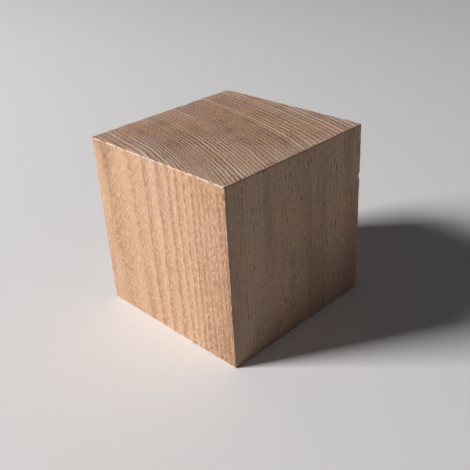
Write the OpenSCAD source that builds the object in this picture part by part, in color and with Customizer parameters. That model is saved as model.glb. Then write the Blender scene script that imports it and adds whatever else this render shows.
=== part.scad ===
// Solid hardwood cube, sawn and sanded from one blank.
// The grain runs along Z, so the base and the top are end grain. The cube stands on Z = 0,
// centred on X = 0, Y = 0, with its front towards -Y and its right side towards +X.

/* [Cube] */
// Length of every side
side = 60; // [30:1:150]

/* [Arrises] */
// Radius of the four upright arrises, which run with the grain
grain_arris_r = 0.45; // [0.2:0.05:2]
// Radius of the eight arrises around the base and the top
end_arris_r = 0.35; // [0.2:0.05:2]

/* [Bruised corner] */
// Width of the flat that a knock left on the front right top corner
bruise_w = 1.3; // [0.8:0.1:4]

/* [Dents] */
// Length of a dent along its arris
dent_l = 1.8; // [1:0.1:5]
// Depth of a dent, square to its arris
dent_depth = 0.25; // [0.1:0.05:0.9]
// Drop of the front dent below the top, on the front right arris
front_dent_drop = 3.2; // [2.5:0.1:25]
// Drop of the rear dent below the top, on the back right arris
rear_dent_drop = 17.6; // [2.5:0.1:25]
// Distance of the top dent from the back, on the left top arris
top_dent_in = 20.8; // [2.5:0.1:25]

/* [Base chips] */
// Length of a chip along the front base arris
chip_l = 1.1; // [0.6:0.1:3]
// Depth of a chip, square to its arris
chip_depth = 0.4; // [0.1:0.05:0.9]
// Distance of the nearest chip from the right side
chip_in = 11.4; // [2:0.1:15]
// Distance between the two chips
chip_step = 5.8; // [4:0.1:12]

/* [Hidden] */
$fn = 48;

half_side = side / 2;
// How far a round of radius 1 stands back from the sharp arris that it eases
ROUND_INSET = sqrt(2) - 1;
// Tilt of a cube's body diagonal away from upright
DIAGONAL_TILT = acos(1 / sqrt(3));
// Height of the pyramid that a flat of width bruise_w takes off a square corner
bruise_h = bruise_w / sqrt(6);

// Radius of the ball whose cap is as wide as w and as deep as depth
function cap_radius(w, depth) = (pow(w / 2, 2) + pow(depth, 2)) / (2 * depth);

// Square outline with its four corners eased to radius r
module eased_square(r) {
    core = side - 2 * r;
    square([core, side], center = true);
    square([side, core], center = true);
    for (x = [-1, 1], y = [-1, 1])
        translate([x, y] * core / 2) circle(r);
}

// Bar as long as the cube, along Z, with its four long arrises eased
module eased_bar(r) {
    linear_extrude(height = side, center = true) eased_square(r);
}

// Block centred on the origin: what three crossed bars, one along each axis, have in common
module eased_block() {
    intersection() {
        eased_bar(grain_arris_r);
        rotate([90, 0, 0]) eased_bar(end_arris_r);
        rotate([0, 90, 0]) eased_bar(end_arris_r);
    }
}

// Round hollow, l long and depth deep, at a point of the arris that faces along out and is eased to r
module hollow(at, out, r, l, depth) {
    ball_r = cap_radius(l, depth);
    translate(at + out / norm(out) * (ball_r - depth - r * ROUND_INSET)) sphere(ball_r);
}

// Hollows that knocks left in two upright arrises and one top arris
module dents() {
    hollow([half_side, -half_side, half_side - front_dent_drop], [1, -1, 0],
           grain_arris_r, dent_l, dent_depth);
    hollow([half_side, half_side, half_side - rear_dent_drop], [1, 1, 0],
           grain_arris_r, dent_l, dent_depth);
    hollow([-half_side, half_side - top_dent_in, half_side], [-1, 0, 1],
           end_arris_r, dent_l, dent_depth);
}

// Smaller hollows where the saw broke out fibres on the front base arris
module base_chips() {
    for (i = [0, 1])
        hollow([half_side - chip_in - i * chip_step, -half_side, -half_side], [0, -1, -1],
               end_arris_r, chip_l, chip_depth);
}

// Slab that takes the point off the front right top corner and leaves a flat across it
module corner_bruise() {
    translate([half_side, -half_side, half_side])
        rotate([0, DIAGONAL_TILT, -45])
            translate([0, 0, half_side - bruise_h]) cube(side, center = true);
}

module wooden_cube() {
    color("#d2a887")
        translate([0, 0, half_side])
            difference() {
                eased_block();
                dents();
                base_chips();
                corner_bruise();
            }
}

wooden_cube();
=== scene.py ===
"""Dresses the wooden cube: a sanded beech block with rubbed arrises, painted highlight and shade along them,
painted shade on its quarter-sawn sides, and solid, three-way wood figure.
"""

import logging
import math
from collections.abc import Callable, Iterator, Mapping
from contextlib import contextmanager
from dataclasses import dataclass, replace
from enum import Enum
from typing import Any

import bmesh
import bpy
from mathutils import Euler, Matrix, Vector


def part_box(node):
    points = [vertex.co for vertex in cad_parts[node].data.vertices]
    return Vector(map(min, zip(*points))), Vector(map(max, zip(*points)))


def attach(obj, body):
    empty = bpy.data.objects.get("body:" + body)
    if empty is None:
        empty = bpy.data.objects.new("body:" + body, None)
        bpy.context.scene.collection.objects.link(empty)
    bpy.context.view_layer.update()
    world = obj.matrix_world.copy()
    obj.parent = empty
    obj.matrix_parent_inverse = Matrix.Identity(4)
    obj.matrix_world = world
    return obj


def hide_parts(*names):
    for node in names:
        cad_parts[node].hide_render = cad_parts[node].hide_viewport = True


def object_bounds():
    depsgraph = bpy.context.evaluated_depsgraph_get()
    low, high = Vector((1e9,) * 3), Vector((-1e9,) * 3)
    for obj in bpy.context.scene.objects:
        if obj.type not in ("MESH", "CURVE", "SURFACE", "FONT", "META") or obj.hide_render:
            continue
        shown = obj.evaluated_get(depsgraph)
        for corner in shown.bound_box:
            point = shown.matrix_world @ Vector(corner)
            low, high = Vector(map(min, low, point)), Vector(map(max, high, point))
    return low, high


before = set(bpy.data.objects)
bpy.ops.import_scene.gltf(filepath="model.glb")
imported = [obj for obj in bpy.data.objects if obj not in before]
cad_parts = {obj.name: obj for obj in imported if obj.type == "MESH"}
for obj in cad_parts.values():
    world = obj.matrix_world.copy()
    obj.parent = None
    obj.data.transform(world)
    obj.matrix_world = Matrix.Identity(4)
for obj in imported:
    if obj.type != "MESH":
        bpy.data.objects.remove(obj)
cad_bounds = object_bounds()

LOG = logging.getLogger("wooden_cube")
NODE = "wooden_cube"
BODY = "root"
MM = 0.001
MM_PER_M = 1000.0
HALF_SIDE = (cad_bounds[1][0] - cad_bounds[0][0]) / 2
IMAGE_SIDE_PX = 470
SENSOR_MM = 36.0
NOISE_MIDDLE = 0.5
WHITE_STRENGTH = 1.0

Colour = tuple[float, float, float]
Place = tuple[float, float, float]
Limits = tuple[float, float]
Socket = bpy.types.NodeSocket
Wire = Socket | float | tuple[float, ...]
Outputs = Mapping[str, Socket]


class Cut(Enum):
    """Which way a face of the block was cut through the tree."""

    FLAT_SAWN = "flat_sawn"
    QUARTER_SAWN = "quarter_sawn_painted_shade"
    END_GRAIN = "end_grain"


class Knock(Enum):
    """How a hollow in an arris falls away from its deepest point."""

    DENT = "SMOOTH"
    CHIP = "SPHERE"


# ---- Shader wiring ----


class Wiring:
    """Adds nodes to one node tree and wires them together."""

    def __init__(self, tree: bpy.types.NodeTree) -> None:
        """Takes the tree that every node goes into.

        Args:
            tree: a material's or a node group's tree.
        """
        self.tree = tree

    def node(self, kind: str, settings: dict[str, Any] | None = None, **wires: Wire) -> bpy.types.Node:
        """Adds one node, sets its options and feeds its inputs.

        Args:
            kind: the node's type name.
            settings: the node's own options, by attribute name.
            wires: a socket or a constant for each input, with spaces written as underscores.

        Returns:
            The new node.
        """
        node = self.tree.nodes.new(kind)
        for name, value in (settings or {}).items():
            setattr(node, name, value)
        for name, value in wires.items():
            self.feed(node.inputs[name.replace("_", " ")], value)
        return node

    def feed(self, socket: Socket, value: Wire) -> None:
        """Links a socket into an input, or writes a constant there.

        Args:
            socket: the input.
            value: what it gets.
        """
        if isinstance(value, Socket):
            self.tree.links.new(value, socket)
        elif isinstance(value, tuple) and len(value) < len(socket.default_value):
            socket.default_value = (*value, 1.0)
        else:
            socket.default_value = value

    def maths(self, operation: str, *values: Wire, clamp: bool = False) -> Socket:
        """Adds a Math node.

        Args:
            operation: what it works out.
            values: its operands in order.
            clamp: whether the result is held between 0 and 1.

        Returns:
            Its result.
        """
        node = self.node("ShaderNodeMath", {"operation": operation, "use_clamp": clamp})
        for socket, value in zip(node.inputs, values):
            self.feed(socket, value)
        return node.outputs[0]

    def vector(self, operation: str, *values: Wire) -> Socket:
        """Adds a Vector Math node.

        Args:
            operation: what it works out.
            values: its operands in order.

        Returns:
            Its result, a number for LENGTH and a vector otherwise.
        """
        node = self.node("ShaderNodeVectorMath", {"operation": operation})
        for socket, value in zip(node.inputs, values):
            self.feed(socket, value)
        return node.outputs["Value" if operation == "LENGTH" else "Vector"]

    def apart(self, vector: Socket) -> Outputs:
        """Splits a vector into its X, Y and Z."""
        return self.node("ShaderNodeSeparateXYZ", Vector=vector).outputs

    def ramp(self, value: Socket, start: float, end: float) -> Socket:
        """Turns a value into a mask that eases from 0 at start to 1 at end.

        Args:
            value: what is measured.
            start: where the mask is 0.
            end: where the mask is 1, which may be the lower of the two.

        Returns:
            The mask.
        """
        low, high, first, last = (start, end, 0.0, 1.0) if start < end else (end, start, 1.0, 0.0)
        limits = {"From_Min": low, "From_Max": high, "To_Min": first, "To_Max": last}
        settings = {"interpolation_type": "SMOOTHSTEP"}
        return self.node("ShaderNodeMapRange", settings, Value=value, **limits).outputs["Result"]

    def noise(self, place: Socket, size: Place, start: Place | None = None, detail: float = 1.0) -> Socket:
        """Adds solid noise.

        Args:
            place: where it is read.
            size: how long its patches are each way.
            start: where in the noise it starts, if not at its origin.
            detail: how many finer layers it has.

        Returns:
            A value around NOISE_MIDDLE.
        """
        place = self.vector("DIVIDE", place, size)
        if start:
            place = self.vector("ADD", place, start)
        return self.node("ShaderNodeTexNoise", Vector=place, Scale=1.0, Detail=detail).outputs["Fac"]

    def sway(self, value: Socket, noise: Socket, span: float, clamp: bool = False) -> Socket:
        """Moves a value up and down by noise.

        Args:
            value: what it is where the noise is at its middle.
            noise: what moves it.
            span: how much it gains while the noise goes from 0 to 1.
            clamp: whether the result is held between 0 and 1.

        Returns:
            The moved value.
        """
        away = self.maths("SUBTRACT", noise, NOISE_MIDDLE)
        return self.maths("MULTIPLY_ADD", away, span, value, clamp=clamp)

    def lift(self, mask: Socket, least: float) -> Socket:
        """Raises a mask, so that it goes from least to 1."""
        return self.maths("MULTIPLY_ADD", mask, 1.0 - least, least)

    def blend(self, share: Wire, first: Wire, second: Wire) -> Socket:
        """Mixes two colours.

        Args:
            share: how much of the second shows.
            first: the colour at 0.
            second: the colour at 1.

        Returns:
            The mixed colour.
        """
        node = self.node("ShaderNodeMix", {"data_type": "RGBA"})
        colours = [socket for socket in node.inputs if socket.type == "RGBA"]
        self.feed(node.inputs["Factor"], share)
        self.feed(colours[0], first)
        self.feed(colours[1], second)
        return next(socket for socket in node.outputs if socket.type == "RGBA")


@dataclass(frozen=True)
class Effect:
    """A shader node group with named inputs and outputs, built once and placed wherever it is used.

    Attributes:
        name: the group's name.
        takes: its inputs.
        gives: its outputs.
    """

    name: str
    takes: tuple[str, ...]
    gives: tuple[str, ...]

    def wire(self, wiring: Wiring, given: dict[str, Socket]) -> dict[str, Socket]:
        """Builds the inside of the group.

        Args:
            wiring: the group's own wiring.
            given: the group's inputs by name.

        Returns:
            The group's outputs by name.
        """
        raise NotImplementedError

    def group(self) -> bpy.types.NodeTree:
        """Gives the node group, which is built the first time.

        Returns:
            The group's tree.
        """
        if self.name in bpy.data.node_groups:
            return bpy.data.node_groups[self.name]
        tree = bpy.data.node_groups.new(self.name, "ShaderNodeTree")
        for label in self.takes:
            tree.interface.new_socket(label, in_out="INPUT", socket_type="NodeSocketVector")
        for label in self.gives:
            kind = "NodeSocketVector" if label == "Grain" else "NodeSocketFloat"
            tree.interface.new_socket(label, in_out="OUTPUT", socket_type=kind)
        wiring = Wiring(tree)
        source = tree.nodes.new("NodeGroupInput")
        sink = tree.nodes.new("NodeGroupOutput")
        made = self.wire(wiring, {label: source.outputs[label] for label in self.takes})
        for label, socket in made.items():
            tree.links.new(socket, sink.inputs[label])
        return tree

    def place(self, wiring: Wiring, **wires: Wire) -> bpy.types.Node:
        """Puts the group into a material.

        Args:
            wiring: the material's wiring.
            wires: what each input gets.

        Returns:
            The group's node.
        """
        node = wiring.node("ShaderNodeGroup", {"node_tree": self.group()})
        for label, value in wires.items():
            wiring.feed(node.inputs[label], value)
        return node


# ---- Wood ----


@dataclass(frozen=True)
class GrainSpace(Effect):
    """Turns a place on the block into the tree's own directions, in millimetres.

    The result's X runs around the growth rings, Y outwards from the pith and Z along the grain.

    Attributes:
        pith: a point of the pith.
        lean: how far the pith moves for each step up.
        mean_radius: the block's distance from the pith.
        wander_size: size of the slow waves in the rings.
        wander: how far the slow waves bend a ring from side to side.
        ripple_size: size of the quick waves.
        ripple: how far the quick waves bend a ring from side to side.
    """

    name: str = "grain_space"
    takes: tuple[str, ...] = ("Place",)
    gives: tuple[str, ...] = ("Grain",)
    pith: Place = (-45.0, -170.0, 30.0)
    lean: Place = (0.038, -0.0195, 0.0)
    mean_radius: float = 175.0
    wander_size: Place = (30.0, 30.0, 150.0)
    wander: float = 1.8
    ripple_size: Place = (7.0, 7.0, 26.0)
    ripple: float = 0.7

    def wire(self, wiring: Wiring, given: dict[str, Socket]) -> dict[str, Socket]:
        """Turns the place from the pith outwards.

        Args:
            wiring: the group's own wiring.
            given: the place on the block, in metres.

        Returns:
            The place in the grain.
        """
        place = wiring.vector("MULTIPLY", given["Place"], (MM_PER_M, MM_PER_M, MM_PER_M))
        from_pith = wiring.vector("SUBTRACT", place, self.pith)
        shift = wiring.vector("MULTIPLY", self.lean, wiring.apart(from_pith)["Z"])
        across = wiring.apart(wiring.vector("SUBTRACT", from_pith, shift))
        squares = [wiring.maths("MULTIPLY", across[axis], across[axis]) for axis in "XY"]
        radius = wiring.maths("SQRT", wiring.maths("ADD", *squares))
        for size, reach in ((self.wander_size, self.wander), (self.ripple_size, self.ripple)):
            radius = wiring.sway(radius, wiring.noise(place, size), reach)
        turn = wiring.maths("ARCTAN2", across["X"], across["Y"])
        around = wiring.maths("MULTIPLY", turn, self.mean_radius)
        grain = wiring.node("ShaderNodeCombineXYZ", X=around, Y=radius, Z=across["Z"])
        return {"Grain": grain.outputs["Vector"]}


@dataclass(frozen=True)
class Cycle:
    """A slow, uneven swing in how fast the tree grew.

    Attributes:
        swing: how far it moves the rings outwards while its noise goes from 0 to 1, in millimetres.
        span: how much radius a swing takes, in millimetres.
        start: where in the tree's life it starts.
    """

    swing: float
    span: float
    start: float

    def move(self, wiring: Wiring, radius: Socket, even: Socket) -> Socket:
        """Moves the rings by the swing.

        Args:
            wiring: the wiring it goes into.
            radius: the distance from the pith.
            even: the rings' place so far.

        Returns:
            The rings' place.
        """
        place = wiring.maths("MULTIPLY_ADD", radius, 1 / self.span, self.start)
        noise = wiring.node("ShaderNodeTexNoise", {"noise_dimensions": "1D"}, Scale=1.0, Detail=1.0, W=place)
        return wiring.sway(even, noise.outputs["Fac"], self.swing)


@dataclass(frozen=True)
class GrowthRings(Effect):
    """Growth rings of uneven width, from the pale crest that ends one to the dark line that starts the next.

    The line is sharp towards the pith and fades outwards. Good and bad years make the widths uneven.

    Attributes:
        width: mean width of a ring, in millimetres.
        first: how many rings lie between the pith and the one that is numbered 0.
        decades: the slow swing in the rings' width.
        seasons: the quick swing.
        fray_size: size of the raggedness of a ring's edge.
        fray: how far the raggedness reaches from side to side.
        onset: part of a ring over which its dark line rises.
        fade_power: how fast the line fades.
        crest: parts of a ring at which its pale end starts and is full.
        crest_end: part of a ring after which the pale end falls off.
        faintest: strength of the faintest ring.
        chances: where in the white noise the strengths of line, crest and tone start.
        vigour_size: size of the stretches where rings are strong or faint.
        vigour_start: where in their noise the stretches start.
        vigour: the noise at which a ring is faint and at which it is strong.
    """

    name: str = "growth_rings"
    takes: tuple[str, ...] = ("Grain",)
    gives: tuple[str, ...] = ("Line", "Crest", "Tone", "Early", "Vigour")
    width: float = 1.339
    first: float = 105.63
    decades: Cycle = Cycle(swing=-25.952, span=52.19, start=47.290)
    seasons: Cycle = Cycle(swing=1.706, span=8.73, start=54.281)
    fray_size: Place = (0.6, 0.8, 9.0)
    fray: float = 0.4
    onset: float = 0.06
    fade_power: float = 4.0
    crest: Limits = (0.25, 0.72)
    crest_end: float = 0.80
    faintest: float = 0.12
    chances: tuple[float, float, float] = (700395.0, 812526.0, 2790860.0)
    vigour_size: Place = (20.0, 12.0, 60.0)
    vigour_start: Place = (25.10, 56.08, 52.27)
    vigour: Limits = (0.36, 0.62)

    def wire(self, wiring: Wiring, given: dict[str, Socket]) -> dict[str, Socket]:
        """Makes each ring's line, crest and strength.

        Args:
            wiring: the group's own wiring.
            given: the place in the grain.

        Returns:
            The masks of the lines and crests, and each ring's tone, earliness and vigour.
        """
        ragged = wiring.noise(given["Grain"], self.fray_size)
        radius = wiring.sway(wiring.apart(given["Grain"])["Y"], ragged, self.fray)
        even = self.seasons.move(wiring, radius, self.decades.move(wiring, radius, radius))
        ring = wiring.maths("SUBTRACT", wiring.maths("DIVIDE", even, self.width), self.first)
        part = wiring.maths("FRACT", ring)
        early = wiring.maths("SUBTRACT", 1.0, part)
        onset = wiring.ramp(part, 0.0, self.onset)
        line = wiring.maths("MULTIPLY", onset, wiring.maths("POWER", early, self.fade_power))
        rise, fall = wiring.ramp(part, *self.crest), wiring.ramp(part, 1.0, self.crest_end)
        crest = wiring.maths("MULTIPLY", rise, fall)
        number = wiring.maths("FLOOR", ring)
        line_chance, crest_chance, tone = (self._chance(wiring, number, start) for start in self.chances)
        vigour = wiring.noise(given["Grain"], self.vigour_size, self.vigour_start, detail=2.0)
        return {
            "Line": wiring.maths("MULTIPLY", line, wiring.lift(line_chance, self.faintest)),
            "Crest": wiring.maths("MULTIPLY", crest, wiring.lift(crest_chance, self.faintest)),
            "Tone": tone,
            "Early": early,
            "Vigour": wiring.ramp(vigour, *self.vigour),
        }

    def _chance(self, wiring: Wiring, number: Socket, start: float) -> Socket:
        """Gives each ring its own value from 0 to 1.

        Args:
            wiring: the group's wiring.
            number: the ring's number.
            start: what sets one series of values apart from the next.

        Returns:
            The value.
        """
        place = wiring.maths("ADD", number, start)
        return wiring.node("ShaderNodeTexWhiteNoise", {"noise_dimensions": "1D"}, W=place).outputs["Value"]


@dataclass(frozen=True)
class RayFlecks(Effect):
    """Beech's rays: thin, ragged upright sheets that point at the pith and show wherever a face cuts them.

    Attributes:
        spacing: mean distance from ray to ray.
        scatter: how far the rays stand off an even grid, from 0 to 1.
        half_size: half of a ray's size.
        edge: how far from a ray's middle, in half sizes, it starts and is full.
        fray_size: size of the raggedness of the edge.
        fray: how far the raggedness reaches from side to side, in half sizes.
        present: the chance at which a ray starts to show and at which it shows in full.
        clump_size: size of the patches that are rich or poor in rays.
        clump: the noise at which a patch is bare and at which it is full.
    """

    name: str = "ray_flecks"
    takes: tuple[str, ...] = ("Grain",)
    gives: tuple[str, ...] = ("Fleck",)
    spacing: Place = (0.72, 0.88, 3.7)
    scatter: float = 0.9
    half_size: Place = (0.14, 0.30, 1.7)
    edge: Limits = (1.0, 0.5)
    fray_size: Place = (0.16, 0.16, 0.75)
    fray: float = 1.3
    present: Limits = (0.15, 0.66)
    clump_size: Place = (6.0, 6.0, 9.0)
    clump: Limits = (0.35, 0.54)

    def wire(self, wiring: Wiring, given: dict[str, Socket]) -> dict[str, Socket]:
        """Scatters the rays and frays them.

        Args:
            wiring: the group's own wiring.
            given: the place in the grain.

        Returns:
            The flecks' mask.
        """
        cells = wiring.vector("DIVIDE", given["Grain"], self.spacing)
        found = wiring.node("ShaderNodeTexVoronoi", Vector=cells, Scale=1.0, Randomness=self.scatter)
        offset = wiring.vector("SUBTRACT", cells, found.outputs["Position"])
        relative = tuple(space / half for space, half in zip(self.spacing, self.half_size))
        away = wiring.vector("LENGTH", wiring.vector("MULTIPLY", offset, relative))
        away = wiring.sway(away, wiring.noise(given["Grain"], self.fray_size), self.fray)
        chance = wiring.node("ShaderNodeSeparateColor", Color=found.outputs["Color"]).outputs["Red"]
        clump = wiring.ramp(wiring.noise(given["Grain"], self.clump_size), *self.clump)
        shown = wiring.maths("MULTIPLY", wiring.ramp(chance, *self.present), clump)
        return {"Fleck": wiring.maths("MULTIPLY", wiring.ramp(away, *self.edge), shown)}


@dataclass(frozen=True)
class Fibres(Effect):
    """The wood's own stuff: pores along the grain, and a fine uneven mottle of dark and pale fibres.

    Attributes:
        pore_size: size of a pore.
        pore: the noise at which a pore starts and at which it is full.
        fibre_size: size of a bundle of fibres.
        pale: the noise at which a bundle starts to be pale and at which it is palest.
        dark_share: how dark the darkest bundles are beside a pore.
        streak_size: size of the long streaks.
    """

    name: str = "fibres"
    takes: tuple[str, ...] = ("Grain",)
    gives: tuple[str, ...] = ("Pore", "Pale", "Streak")
    pore_size: Place = (0.22, 0.22, 1.45)
    pore: Limits = (0.56, 0.64)
    fibre_size: Place = (0.34, 0.38, 1.36)
    pale: Limits = (0.53, 0.62)
    dark_share: float = 0.8
    streak_size: Place = (0.70, 0.70, 12.0)

    def wire(self, wiring: Wiring, given: dict[str, Socket]) -> dict[str, Socket]:
        """Sinks the pores and mottles the fibres.

        Args:
            wiring: the group's own wiring.
            given: the place in the grain.

        Returns:
            The masks of pores, pale fibres and streaks.
        """
        pores = wiring.ramp(wiring.noise(given["Grain"], self.pore_size), *self.pore)
        fibres = wiring.noise(given["Grain"], self.fibre_size)
        dark = wiring.ramp(fibres, *(1.0 - limit for limit in self.pale))
        return {
            "Pore": wiring.maths("MAXIMUM", pores, wiring.maths("MULTIPLY", dark, self.dark_share)),
            "Pale": wiring.ramp(fibres, *self.pale),
            "Streak": wiring.noise(given["Grain"], self.streak_size, detail=2.0),
        }


@dataclass(frozen=True)
class SlowTone(Effect):
    """Slow drifts in colour through the timber: from fresh to brown, towards pink, and towards gold.

    Attributes:
        drift_size: size of the drifts from fresh to brown.
        drift_start: where in their noise they start.
        drift: the noise at which the timber is fresh and at which it is brown.
        patch_size: size of the pink and golden patches.
        blush_start: where in their noise the pink ones start.
        gold_start: where the golden ones start.
        patch: the noise at which a patch starts and at which it is full.
    """

    name: str = "slow_tone"
    takes: tuple[str, ...] = ("Grain",)
    gives: tuple[str, ...] = ("Drift", "Blush", "Gold")
    drift_size: Place = (30.0, 8.0, 90.0)
    drift_start: Place = (14.99, 49.03, 61.61)
    drift: Limits = (0.36, 0.64)
    patch_size: Place = (11.0, 13.0, 28.0)
    blush_start: Place = (19.25, 88.91, 26.98)
    gold_start: Place = (45.11, 52.43, 28.36)
    patch: Limits = (0.47, 0.70)

    def wire(self, wiring: Wiring, given: dict[str, Socket]) -> dict[str, Socket]:
        """Spreads the drifts and the patches.

        Args:
            wiring: the group's own wiring.
            given: the place in the grain.

        Returns:
            The masks of the drift, the pink and the gold.
        """
        grain = given["Grain"]
        drift = wiring.noise(grain, self.drift_size, self.drift_start, detail=2.0)
        return {
            "Drift": wiring.ramp(drift, *self.drift),
            "Blush": wiring.ramp(wiring.noise(grain, self.patch_size, self.blush_start), *self.patch),
            "Gold": wiring.ramp(wiring.noise(grain, self.patch_size, self.gold_start), *self.patch),
        }


@dataclass(frozen=True)
class ArrisWearAndEdgeLight(Effect):
    """Where hands and sandpaper have rubbed the arrises, and how far their scuffing reaches into a face; the
    colours laid on these masks also paint highlight and shade along the arrises and a pale sheen near them.

    Attributes:
        width: how far from an arris the rubbing starts.
        full_width: how far from it the rubbing is full.
        patch_size: size of a rubbed patch.
        patch: the noise at which a patch starts and at which it is full.
        scuff_and_sheen_width: how far from an arris the scuffing and its painted sheen start.
        scuff_and_sheen_size: size of a patch of scuffing and painted sheen.
        scuff_and_sheen: the noise at which that starts and at which it is full.
    """

    name: str = "arris_wear"
    takes: tuple[str, ...] = ("Place",)
    gives: tuple[str, ...] = ("Wear_And_Edge_Light", "Scuff_And_Sheen")
    width: float = 0.6 * MM
    full_width: float = 0.15 * MM
    patch_size: Place = (1.8 * MM, 1.8 * MM, 1.8 * MM)
    patch: Limits = (0.38, 0.56)
    scuff_and_sheen_width: float = 13.0 * MM
    scuff_and_sheen_size: Place = (9.0 * MM, 9.0 * MM, 9.0 * MM)
    scuff_and_sheen: Limits = (0.30, 0.62)

    def wire(self, wiring: Wiring, given: dict[str, Socket]) -> dict[str, Socket]:
        """Follows the arrises and breaks their wear into patches.

        Args:
            wiring: the group's own wiring.
            given: the place on the block, in metres.

        Returns:
            The masks of the rubbing and the scuffing, which also carry painted highlight, shade and sheen.
        """
        centre = (0.0, 0.0, HALF_SIDE)
        out = wiring.apart(wiring.vector("ABSOLUTE", wiring.vector("SUBTRACT", given["Place"], centre)))
        lower = wiring.maths("MINIMUM", out["X"], out["Y"])
        upper = wiring.maths("MAXIMUM", out["X"], out["Y"])
        second = wiring.maths("MAXIMUM", lower, wiring.maths("MINIMUM", upper, out["Z"]))
        near = wiring.ramp(second, HALF_SIDE - self.width, HALF_SIDE - self.full_width)
        around = wiring.ramp(second, HALF_SIDE - self.scuff_and_sheen_width, HALF_SIDE)
        edge_light_and_wear = wiring.ramp(wiring.noise(given["Place"], self.patch_size, detail=2.0), *self.patch)
        # these patches paint a pale sheen near the arrises, besides the scuffing
        scuff_and_sheen_patches = wiring.ramp(wiring.noise(given["Place"], self.scuff_and_sheen_size, detail=2.0), *self.scuff_and_sheen)
        return {
            "Wear_And_Edge_Light": wiring.maths("MULTIPLY", near, edge_light_and_wear),
            "Scuff_And_Sheen": wiring.maths("MULTIPLY", around, scuff_and_sheen_patches),
        }


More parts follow.
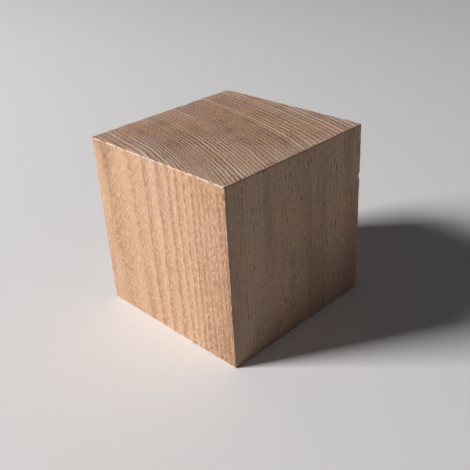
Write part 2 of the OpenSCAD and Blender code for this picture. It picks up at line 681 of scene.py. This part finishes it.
@dataclass(frozen=True)
class WoodFinish:
    """Bare sanded beech as one kind of face shows it.

    Attributes:
        cut: which way the face crosses the tree.
        fresh: colour of the palest timber.
        brown: colour of the darkest timber.
        line: colour of the ring lines.
        crest: colour of the pale end of each ring.
        fleck: colour of the ray flecks.
        pore: colour inside the pores.
        pale: colour of the palest fibres.
        blush: colour of the pinkish patches.
        gold: colour of the golden patches.
        edge_light_and_wear: colour of a rubbed arris with painted light on it: a pale painted highlight on
            the flat-sawn sides and the ends, a dark painted shade, partly grime, on the quarter-sawn sides.
        tone_share: how far one ring differs from the next.
        streak_share: how far long fine streaks differ from each other.
        steadiness: how much of a ring's strength holds where the rings are faint.
        line_reach: how widely a ring's dark line fades, from 1 for sharp down towards 0.
        crest_reach: how widely a ring's pale end fades, likewise.
        line_share: how dark the ring lines are.
        crest_share: how pale the rings' ends are.
        fleck_share: how dark the flecks are.
        pore_share: how dark the pores are.
        pale_share: how pale the palest fibres are.
        blush_share: how pink the patches are.
        gold_share: how golden the patches are.
        edge_light_and_wear_share: how strongly a rubbed arris takes that colour, rubbing and painted light
            together.
        edge_light_and_wear_reach: how widely that colour fades into the face, from 1 for narrowly down
            towards 0.
        scuff_and_sheen_share: how far the scuffing, with its pale painted sheen, takes the face around them
            to the same colour.
        relief: depth of a ring line, in metres.
        roughness: roughness between the pores.
        late_pores: share of the pores that shows at the end of a ring.
        fleck_depth: how deep a fleck is beside a ring line.
        pore_depth: how deep a pore is beside a ring line.
        pore_roughness: how much rougher the pores are.
        worn_polish: how much smoother a rubbed arris is.
        gloss: strength of the gloss.
        glow: share of the light that goes into the wood and comes out beside where it went in.
        glow_reach: how far that light travels as red, green and blue, in millimetres.
    """

    cut: Cut
    fresh: Colour
    brown: Colour
    line: Colour
    crest: Colour
    fleck: Colour
    pore: Colour
    pale: Colour
    blush: Colour
    gold: Colour
    edge_light_and_wear: Colour
    tone_share: float
    streak_share: float
    steadiness: float
    line_reach: float
    crest_reach: float
    line_share: float
    crest_share: float
    fleck_share: float
    pore_share: float
    pale_share: float
    blush_share: float
    gold_share: float
    edge_light_and_wear_share: float
    edge_light_and_wear_reach: float
    scuff_and_sheen_share: float
    relief: float
    roughness: float
    late_pores: float = 0.3
    fleck_depth: float = 0.5
    pore_depth: float = 0.6
    pore_roughness: float = 0.12
    worn_polish: float = 0.12
    gloss: float = 0.35
    glow: float = 0.25
    glow_reach: Colour = (1.4, 0.5, 0.2)

    def material(self) -> bpy.types.Material:
        """Builds the finish's material.

        Returns:
            The material.
        """
        material = bpy.data.materials.new(f"beech_{self.cut.value}")
        material.use_nodes = True
        material.node_tree.nodes.clear()
        wiring = Wiring(material.node_tree)
        place = wiring.node("ShaderNodeTexCoord").outputs["Object"]
        grain = GrainSpace().place(wiring, Place=place).outputs["Grain"]
        rings = GrowthRings().place(wiring, Grain=grain).outputs
        fleck = RayFlecks().place(wiring, Grain=grain).outputs["Fleck"]
        fibres = Fibres().place(wiring, Grain=grain).outputs
        slow = SlowTone().place(wiring, Grain=grain).outputs
        wear = ArrisWearAndEdgeLight().place(wiring, Place=place).outputs
        rough = wiring.maths("MULTIPLY_ADD", fibres["Pore"], self.pore_roughness, self.roughness)
        shader = wiring.node(
            "ShaderNodeBsdfPrincipled",
            Base_Color=self._colour(wiring, rings, fleck, fibres, slow, wear),
            Roughness=wiring.maths("MULTIPLY_ADD", wear["Wear_And_Edge_Light"], -self.worn_polish, rough),
            Normal=self._relief(wiring, rings["Line"], fleck, fibres["Pore"]),
            Specular_IOR_Level=self.gloss,
            Subsurface_Weight=self.glow,
            Subsurface_Radius=self.glow_reach,
            Subsurface_Scale=MM,
        )
        wiring.node("ShaderNodeOutputMaterial", Surface=shader.outputs["BSDF"])
        return material

    def _colour(self, wiring: Wiring, rings: Outputs, fleck: Socket, fibres: Outputs,
                slow: Outputs, wear: Outputs) -> Socket:
        """Layers the colours from the broadest to the finest.

        Args:
            wiring: the material's wiring.
            rings: the growth rings' outputs.
            fleck: the flecks' mask.
            fibres: the fibres' outputs.
            slow: the slow tones' outputs.
            wear: the rubbed arrises' outputs, which carry painted light as well.

        Returns:
            The face's colour.
        """
        drift = wiring.sway(slow["Drift"], rings["Tone"], self.tone_share)
        drift = wiring.sway(drift, fibres["Streak"], self.streak_share, clamp=True)
        vigour = wiring.lift(rings["Vigour"], self.steadiness)
        pores = wiring.lift(rings["Early"], self.late_pores)
        crest = wiring.maths("POWER", rings["Crest"], self.crest_reach)
        line = wiring.maths("POWER", rings["Line"], self.line_reach)
        edge_light_and_wear = wiring.maths("POWER", wear["Wear_And_Edge_Light"], self.edge_light_and_wear_reach)
        colour = wiring.blend(drift, self.fresh, self.brown)
        layers = (
            (slow["Blush"], self.blush_share, self.blush),
            (slow["Gold"], self.gold_share, self.gold),
            (wiring.maths("MULTIPLY", crest, vigour), self.crest_share, self.crest),
            (wiring.maths("MULTIPLY", line, vigour), self.line_share, self.line),
            (fleck, self.fleck_share, self.fleck),
            (fibres["Pale"], self.pale_share, self.pale),
            (wiring.maths("MULTIPLY", fibres["Pore"], pores), self.pore_share, self.pore),
            # These two layers also paint light: a pale sheen near the arrises of the ends, a pale highlight
            # along the arrises of the flat-sawn sides and the ends, and a dark shade along those of the
            # quarter-sawn sides.
            (wear["Scuff_And_Sheen"], self.scuff_and_sheen_share, self.edge_light_and_wear),
            (edge_light_and_wear, self.edge_light_and_wear_share, self.edge_light_and_wear),
        )
        for mask, share, shade in layers:
            colour = wiring.blend(wiring.maths("MULTIPLY", mask, share), colour, shade)
        return colour

    def _relief(self, wiring: Wiring, line: Socket, fleck: Socket, pore: Socket) -> Socket:
        """Sinks the ring lines, flecks and pores a little.

        Args:
            wiring: the material's wiring.
            line: the ring lines' mask.
            fleck: the flecks' mask.
            pore: the pores' mask.

        Returns:
            The bumped normal.
        """
        depth = wiring.maths("MULTIPLY_ADD", fleck, self.fleck_depth, line)
        depth = wiring.maths("MULTIPLY_ADD", pore, self.pore_depth, depth)
        bump = wiring.node("ShaderNodeBump", {"invert": True}, Height=depth, Distance=self.relief)
        return bump.outputs["Normal"]


FLAT_SAWN = WoodFinish(
    cut=Cut.FLAT_SAWN,
    fresh=(0.700, 0.430, 0.266),
    brown=(0.420, 0.228, 0.134),
    line=(0.240, 0.090, 0.030),
    crest=(0.880, 0.620, 0.435),
    fleck=(0.280, 0.110, 0.040),
    pore=(0.260, 0.090, 0.020),
    pale=(0.905, 0.650, 0.455),
    blush=(0.640, 0.370, 0.265),
    gold=(0.700, 0.410, 0.220),
    # pale painted highlight along the arrises, on top of their rubbing
    edge_light_and_wear=(1.000, 0.840, 0.660),
    tone_share=0.27,
    streak_share=0.9,
    steadiness=0.70,
    line_reach=1.0,
    crest_reach=1.0,
    line_share=0.8,
    crest_share=0.4,
    fleck_share=0.5,
    pore_share=0.55,
    pale_share=0.42,
    blush_share=0.5,
    gold_share=0.4,
    edge_light_and_wear_share=0.8,
    edge_light_and_wear_reach=1.0,
    scuff_and_sheen_share=0.0,
    relief=0.03 * MM,
    roughness=0.62,
)
# The quarter-sawn sides are the same timber as the flat-sawn ones. Their darker, greyer fresh, brown and
# fleck colours are painted shade, the shade of a side turned from the lamp. Their dark arris colour is
# painted shade along the arrises, partly grime.
QUARTER_SAWN = replace(
    FLAT_SAWN,
    cut=Cut.QUARTER_SAWN,
    fresh=(0.455, 0.318, 0.233),
    brown=(0.360, 0.241, 0.170),
    fleck=(0.135, 0.075, 0.046),
    # dark painted shade along the arrises, partly grime
    edge_light_and_wear=(0.240, 0.120, 0.060),
    tone_share=0.10,
    streak_share=0.72,
    line_share=0.16,
    crest_share=0.12,
    fleck_share=1.0,
    pore_share=0.38,
    pale_share=0.12,
    blush_share=0.2,
    gold_share=0.2,
    edge_light_and_wear_share=1.0,
    edge_light_and_wear_reach=0.35,
)
END_GRAIN = replace(
    FLAT_SAWN,
    cut=Cut.END_GRAIN,
    fresh=(0.486, 0.248, 0.142),
    brown=(0.250, 0.108, 0.052),
    line=(0.070, 0.026, 0.010),
    crest=(0.980, 0.690, 0.510),
    fleck=(0.860, 0.600, 0.450),
    pore=(0.050, 0.020, 0.008),
    pale=(0.940, 0.650, 0.500),
    blush=(0.430, 0.230, 0.200),
    gold=(0.510, 0.270, 0.130),
    # pale painted highlight along the arrises, on top of their rubbing
    edge_light_and_wear=(0.980, 0.820, 0.650),
    tone_share=0.85,
    streak_share=0.5,
    steadiness=0.35,
    line_reach=0.5,
    line_share=1.0,
    crest_share=1.0,
    fleck_share=0.34,
    pore_share=0.82,
    pale_share=0.65,
    blush_share=0.8,
    gold_share=0.7,
    # painted sheen: pale patches near the arrises of the end, partly handling
    scuff_and_sheen_share=0.15,
    relief=0.05 * MM,
    roughness=0.72,
)


# ---- Modelling ----


@contextmanager
def editing(piece: bpy.types.Object, elements: str) -> Iterator[None]:
    """Opens one piece in edit mode with nothing selected, and closes it again.

    Args:
        piece: the piece to edit.
        elements: VERT, EDGE or FACE.

    Yields:
        Nothing, while the piece is open.
    """
    bpy.ops.object.select_all(action="DESELECT")
    piece.select_set(True)
    bpy.context.view_layer.objects.active = piece
    bpy.ops.object.mode_set(mode="EDIT")
    bpy.ops.mesh.select_mode(type=elements)
    bpy.ops.mesh.select_all(action="DESELECT")
    try:
        yield
    finally:
        bpy.ops.object.mode_set(mode="OBJECT")


def pick(piece: bpy.types.Object, elements: str, wanted: Callable[[Any], bool]) -> None:
    """Selects the vertices, edges or faces that pass a test, and nothing else.

    Args:
        piece: the piece being edited.
        elements: verts, edges or faces.
        wanted: the test.
    """
    bpy.ops.mesh.select_all(action="DESELECT")
    mesh = bmesh.from_edit_mesh(piece.data)
    mesh.normal_update()
    chosen = [element for element in getattr(mesh, elements) if wanted(element)]
    for element in chosen:
        element.select_set(True)
    mesh.select_flush_mode()
    bmesh.update_edit_mesh(piece.data)


@dataclass(frozen=True)
class Hollow:
    """A knock in an arris.

    Attributes:
        place: the point of the sharp arris that it lies on, in metres.
        outward: the way that the arris faces.
        length: its length along the arris.
        depth: its depth, square to the arris.
        knock: how it falls away from its deepest point.
        cuts: into how many more cells each cell of the mesh is divided there.
        core: radius of the part that sinks the whole depth, as a share of the length.
    """

    place: Vector
    outward: Vector
    length: float
    depth: float
    knock: Knock = Knock.DENT
    cuts: int = 3
    core: float = 0.18

    def press(self, piece: bpy.types.Object) -> None:
        """Makes the mesh finer around the hollow and presses it in.

        Args:
            piece: the block.
        """
        with editing(piece, "FACE"):
            pick(piece, "faces", lambda face: (face.calc_center_median() - self.place).length < self.length)
            bpy.ops.mesh.subdivide(number_cuts=self.cuts)
        with editing(piece, "VERT"):
            mesh = bmesh.from_edit_mesh(piece.data)
            reach = min((vert.co - self.place).length for vert in mesh.verts) + self.core * self.length
            pick(piece, "verts", lambda vert: (vert.co - self.place).length < reach)
            bpy.ops.transform.translate(
                value=-self.depth * self.outward.normalized(),
                use_proportional_edit=True,
                use_proportional_connected=True,
                proportional_edit_falloff=self.knock.value,
                proportional_size=self.length / 2,
            )


@dataclass
class BeechCube:
    """The block: a cube with eased, slightly uneven arrises, knocks and a bruised corner.

    Attributes:
        low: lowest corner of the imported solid.
        high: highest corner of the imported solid.
        cell: size of a face's mesh cells.
        grain_arris: radius of the arrises that run with the grain.
        end_arris: radius of the arrises around the ends.
        round_segments: how many facets round an arris.
        slack: how far off, as a share, a point or a normal may be where an arris is looked for.
        worn_band: how far from a sharp arris sanding has reached.
        unevenness: how much deeper sanding has cut in one stretch than in another.
        unevenness_size: length of such a stretch.
        unevenness_inwards: share of that depth which goes into the block.
        bruise: width of the flat on the bruised corner.
        dent_length: length of a dent along its arris.
        dent_depth: depth of a dent, square to its arris.
        chips: how many chips the front base arris has.
        chip_length: length of a chip.
        chip_depth: depth of a chip.
        front_dent_drop: drop of the front dent below the top, on the front right arris.
        rear_dent_drop: drop of the rear dent below the top, on the back right arris.
        top_dent_in: distance of the top dent from the back, on the left top arris.
        chip_in: distance of the nearest chip from the right side.
        chip_step: distance between the chips.
        merge: how close two points of the mesh are when they become one.
        crease: bend in degrees past which an edge stays sharp.
        tie: share of a normal's longest part past which another part counts as the longest too.
        finishes: the finish of each kind of face.
    """

    low: Vector
    high: Vector
    cell: float = 1.0 * MM
    grain_arris: float = 0.45 * MM
    end_arris: float = 0.35 * MM
    round_segments: int = 4
    slack: float = 0.1
    worn_band: float = 0.5 * MM
    unevenness: float = 0.28 * MM
    unevenness_size: float = 2.4 * MM
    unevenness_inwards: float = 0.8
    bruise: float = 1.3 * MM
    dent_length: float = 1.8 * MM
    dent_depth: float = 0.25 * MM
    chips: int = 2
    chip_length: float = 1.1 * MM
    chip_depth: float = 0.4 * MM
    front_dent_drop: float = 3.2 * MM
    rear_dent_drop: float = 17.6 * MM
    top_dent_in: float = 20.8 * MM
    chip_in: float = 11.4 * MM
    chip_step: float = 5.8 * MM
    merge: float = 0.002 * MM
    crease: float = 45.0
    tie: float = 0.999
    finishes: tuple[WoodFinish, ...] = (FLAT_SAWN, QUARTER_SAWN, END_GRAIN)

    @property
    def side(self) -> float:
        """Length of the cube's side."""
        return self.high.x - self.low.x

    @property
    def centre(self) -> Vector:
        """Middle of the block."""
        return (self.low + self.high) / 2

    def build(self) -> bpy.types.Object:
        """Models the block and dresses it.

        Returns:
            The finished piece.
        """
        piece = self._blank()
        self._ease_arrises(piece)
        self._wear_arrises(piece)
        for hollow in self._hollows():
            hollow.press(piece)
        self._bruise_corner(piece)
        self._smooth(piece)
        self._dress(piece)
        return piece

    def _blank(self) -> bpy.types.Object:
        """Makes the sawn blank, its faces divided into square cells.

        Returns:
            The block with sharp arrises.
        """
        bpy.ops.object.select_all(action="DESELECT")
        bpy.ops.mesh.primitive_cube_add(size=self.side, location=self.centre)
        piece = bpy.context.active_object
        piece.name = piece.data.name = "beech_cube"
        bpy.ops.object.transform_apply(location=True, rotation=False, scale=False)
        with editing(piece, "EDGE"):
            bpy.ops.mesh.select_all(action="SELECT")
            bpy.ops.mesh.subdivide(number_cuts=round(self.side / self.cell) - 1)
        return piece

    def _ease_arrises(self, piece: bpy.types.Object) -> None:
        """Rounds the upright arrises first and then those around the ends.

        Args:
            piece: the block.
        """
        reach = self.side / 2 - self.slack * self.end_arris

        def upright(edge: bmesh.types.BMEdge) -> bool:
            """Tells whether an edge lies on an upright arris."""
            return all(min(abs(vert.co.x), abs(vert.co.y)) > reach for vert in edge.verts)

        def at_an_end(edge: bmesh.types.BMEdge) -> bool:
            """Tells whether an edge parts an end from a side."""
            steep = sorted(abs(face.normal.z) for face in edge.link_faces)
            return steep[0] < self.slack and steep[-1] > 1 - self.slack

        for wanted, radius in ((upright, self.grain_arris), (at_an_end, self.end_arris)):
            with editing(piece, "EDGE"):
                pick(piece, "edges", wanted)
                bpy.ops.mesh.bevel(offset=radius, segments=self.round_segments, clamp_overlap=False)

    def _wear_arrises(self, piece: bpy.types.Object) -> None:
        """Cuts the rounded arrises back unevenly, as sandpaper and handling do.

        Args:
            piece: the block.
        """
        reach = self.side / 2 - self.worn_band
        group = piece.vertex_groups.new(name="arrises")
        for vert in piece.data.vertices:
            out = sorted(abs(part) for part in vert.co - self.centre)
            if out[1] > reach:
                group.add([vert.index], 1.0, "REPLACE")
        texture = bpy.data.textures.new("sanding", "CLOUDS")
        texture.noise_scale = self.unevenness_size
        wear = piece.modifiers.new("arris_wear", "DISPLACE")
        wear.texture = texture
        wear.texture_coords = "LOCAL"
        wear.vertex_group = group.name
        wear.strength = self.unevenness
        wear.mid_level = self.unevenness_inwards
        self._apply(piece, wear)

    def _apply(self, piece: bpy.types.Object, modifier: bpy.types.Modifier) -> None:
        """Applies one modifier.

        Args:
            piece: the block.
            modifier: the modifier.
        """
        bpy.ops.object.select_all(action="DESELECT")
        piece.select_set(True)
        bpy.context.view_layer.objects.active = piece
        bpy.ops.object.modifier_apply(modifier=modifier.name)

    def _hollows(self) -> list[Hollow]:
        """Lists the knocks, each on its arris.

        Returns:
            The dents and then the chips.
        """
        left, front, base = self.low
        right, back, top = self.high
        dents = [
            ((right, front, top - self.front_dent_drop), (1, -1, 0)),
            ((right, back, top - self.rear_dent_drop), (1, 1, 0)),
            ((left, back - self.top_dent_in, top), (-1, 0, 1)),
        ]
        chips = [
            ((right - self.chip_in - index * self.chip_step, front, base), (0, -1, -1))
            for index in range(self.chips)
        ]
        kinds = (
            (dents, self.dent_length, self.dent_depth, Knock.DENT),
            (chips, self.chip_length, self.chip_depth, Knock.CHIP),
        )
        return [
            Hollow(Vector(place), Vector(outward), length, depth, knock)
            for places, length, depth, knock in kinds
            for place, outward in places
        ]

    def _bruise_corner(self, piece: bpy.types.Object) -> None:
        """Takes the point off the front right top corner and leaves a small flat.

        Args:
            piece: the block.
        """
        corner = Vector((self.high.x, self.low.y, self.high.z))
        outward = Vector((1, -1, 1)).normalized()
        # The flat takes a pyramid off the square corner that is its width over the root of 6 high.
        flat = corner - outward * self.bruise / math.sqrt(6)
        with editing(piece, "FACE"):
            bpy.ops.mesh.select_all(action="SELECT")
            bpy.ops.mesh.bisect(plane_co=flat, plane_no=outward, use_fill=True, clear_outer=True)

    def _smooth(self, piece: bpy.types.Object) -> None:
        """Closes the mesh, turns its faces outwards and smooths the rounded arrises.

        Args:
            piece: the block.
        """
        with editing(piece, "VERT"):
            bpy.ops.mesh.select_all(action="SELECT")
            bpy.ops.mesh.remove_doubles(threshold=self.merge)
            bpy.ops.mesh.normals_make_consistent(inside=False)
        bpy.ops.object.shade_smooth_by_angle(angle=math.radians(self.crease))
        weigh = piece.modifiers.new("flat_faces", "WEIGHTED_NORMAL")
        weigh.keep_sharp = True
        self._apply(piece, weigh)

    def _dress(self, piece: bpy.types.Object) -> None:
        """Gives the flat-sawn sides, the quarter-sawn sides and the ends their own finish.

        Args:
            piece: the block.
        """
        across = {
            Cut.QUARTER_SAWN: Vector((1, 0, 0)),
            Cut.FLAT_SAWN: Vector((0, 1, 0)),
            Cut.END_GRAIN: Vector((0, 0, 1)),
        }
        for index, finish in enumerate(self.finishes):
            facing = across[finish.cut]

            def belongs(face: bmesh.types.BMFace) -> bool:
                """Tells whether a face looks along the finish's axis rather than another."""
                return abs(face.normal.dot(facing)) > self.tie * max(map(abs, face.normal))

            piece.data.materials.append(finish.material())
            with editing(piece, "FACE"):
                pick(piece, "faces", belongs)
                piece.active_material_index = index
                bpy.ops.object.material_slot_assign()


# ---- Studio ----


@dataclass
class Studio:
    """A plain pale floor, one large soft lamp and an even pale surround.

    Attributes:
        floor_colour: colour of the floor.
        floor_side: length of the floor's side.
        fade: how far from the block the floor starts to turn into the backdrop, and where it has.
        lamp_from: the way from the block to the lamp.
        lamp_distance: how far the lamp stands from the block.
        lamp_side: length of the lamp's side.
        lamp_power: the lamp's power in watts.
        surround: strength of the light that comes from all round.
        surround_colour: colour of that light.
        backdrop: colour that the camera sees past the floor.
    """

    floor_colour: Colour = (0.880, 0.860, 0.855)
    floor_side: float = 12.0
    fade: tuple[float, float] = (0.45, 1.3)
    lamp_from: Place = (-0.50, -0.65, 0.573)
    lamp_distance: float = 1.8
    lamp_side: float = 0.48
    lamp_power: float = 35.0
    surround: float = 0.055
    surround_colour: Colour = (0.96, 0.97, 1.04)
    backdrop: Colour = (0.62, 0.60, 0.58)

    def build(self, target: Vector) -> None:
        """Sets the floor, the lamp and the surround.

        Args:
            target: what the lamp points at.
        """
        self._floor()
        self._lamp(target)
        self._surround()

    def _floor(self) -> None:
        """Lays the floor under the block, and fades it into the backdrop far away."""
        bpy.ops.object.select_all(action="DESELECT")
        bpy.ops.mesh.primitive_plane_add(size=self.floor_side)
        floor = bpy.context.active_object
        floor.name = "floor"
        material = bpy.data.materials.new("floor")
        material.use_nodes = True
        material.node_tree.nodes.clear()
        wiring = Wiring(material.node_tree)
        matt = wiring.node("ShaderNodeBsdfDiffuse", Color=self.floor_colour)
        backdrop = wiring.node("ShaderNodeEmission", Color=self.backdrop, Strength=WHITE_STRENGTH)
        place = wiring.node("ShaderNodeTexCoord").outputs["Object"]
        far = wiring.ramp(wiring.vector("LENGTH", place), *self.fade)
        self._either(wiring, wiring.maths("MULTIPLY", far, self._seen(wiring)), matt.outputs["BSDF"],
                     backdrop.outputs["Emission"], "ShaderNodeOutputMaterial")
        floor.data.materials.append(material)

    def _lamp(self, target: Vector) -> None:
        """Hangs the lamp.

        Args:
            target: what it points at.
        """
        way = Vector(self.lamp_from).normalized()
        bpy.ops.object.light_add(type="AREA", location=target + way * self.lamp_distance)
        lamp = bpy.context.active_object
        lamp.name = "lamp"
        lamp.rotation_euler = way.to_track_quat("Z", "Y").to_euler()
        lamp.data.size = self.lamp_side
        lamp.data.energy = self.lamp_power

    def _surround(self) -> None:
        """Lights the block a little from all round, and sets what shows past the floor."""
        world = bpy.data.worlds.new("surround")
        world.use_nodes = True
        bpy.context.scene.world = world
        wiring = Wiring(world.node_tree)
        world.node_tree.nodes.clear()
        light = wiring.node("ShaderNodeBackground", Color=self.surround_colour, Strength=self.surround)
        seen = wiring.node("ShaderNodeBackground", Color=self.backdrop, Strength=WHITE_STRENGTH)
        self._either(wiring, self._seen(wiring), light.outputs["Background"], seen.outputs["Background"],
                     "ShaderNodeOutputWorld")

    def _seen(self, wiring: Wiring) -> Socket:
        """Tells whether a ray comes from the camera, straight or by way of metal or glass.

        Args:
            wiring: the wiring it goes into.

        Returns:
            1 for such a ray and 0 for any other.
        """
        path = wiring.node("ShaderNodeLightPath").outputs
        mirrored = wiring.maths("MAXIMUM", path["Is Glossy Ray"], path["Is Transmission Ray"])
        return wiring.maths("MAXIMUM", path["Is Camera Ray"], mirrored)

    def _either(self, wiring: Wiring, share: Socket, first: Socket, second: Socket, sink: str) -> None:
        """Mixes two shaders and ends the tree with them.

        Args:
            wiring: the wiring they belong to.
            share: how much of the second shows.
            first: the shader at 0.
            second: the shader at 1.
            sink: the type name of the tree's last node.
        """
        either = wiring.node("ShaderNodeMixShader")
        for socket, value in zip(either.inputs, (share, first, second)):
            wiring.feed(socket, value)
        wiring.feed(wiring.node(sink).inputs["Surface"], either.outputs["Shader"])


@dataclass
class Viewpoint:
    """Where the camera stands and how it is held.

    Attributes:
        stand: the camera's place, in sides of the cube.
        heading: turn to the left from looking along +Y, in degrees.
        dip: how far it looks down, in degrees.
        roll: how far it is tipped to the right, in degrees.
        focal_px: focal length, in pixels of the image.
        near: how close to the camera it starts to see.
    """

    stand: Place = (2.491, -2.334, 2.255)
    heading: float = 46.60
    dip: float = 28.85
    roll: float = 3.38
    focal_px: float = 692.0
    near: float = 0.01

    def build(self, side: float) -> None:
        """Places the camera.

        Args:
            side: length of the cube's side.
        """
        turn = Euler((math.pi / 2 - math.radians(self.dip), 0.0, math.radians(self.heading))).to_matrix()
        turn = turn @ Matrix.Rotation(math.radians(-self.roll), 3, "Z")
        bpy.ops.object.camera_add(location=Vector(self.stand) * side, rotation=turn.to_euler())
        camera = bpy.context.active_object
        camera.data.sensor_width = SENSOR_MM
        camera.data.lens = self.focal_px / IMAGE_SIDE_PX * SENSOR_MM
        camera.data.clip_start = self.near
        bpy.context.scene.camera = camera


def main() -> None:
    """Builds the viewpoint, the studio and the dressed block."""
    logging.basicConfig(level=logging.INFO, format="%(name)s: %(message)s")
    low, high = (Vector(corner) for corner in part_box(NODE))
    cube = BeechCube(low, high)
    Viewpoint().build(cube.side)
    Studio().build(cube.centre)
    piece = cube.build()
    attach(piece, BODY)
    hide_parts(NODE)
    LOG.info("%s: %d faces, side %.1f mm", piece.name, len(piece.data.polygons), cube.side * MM_PER_M)
    bpy.context.scene.view_settings.view_transform = "Standard"


if __name__ == "__main__":
    main()
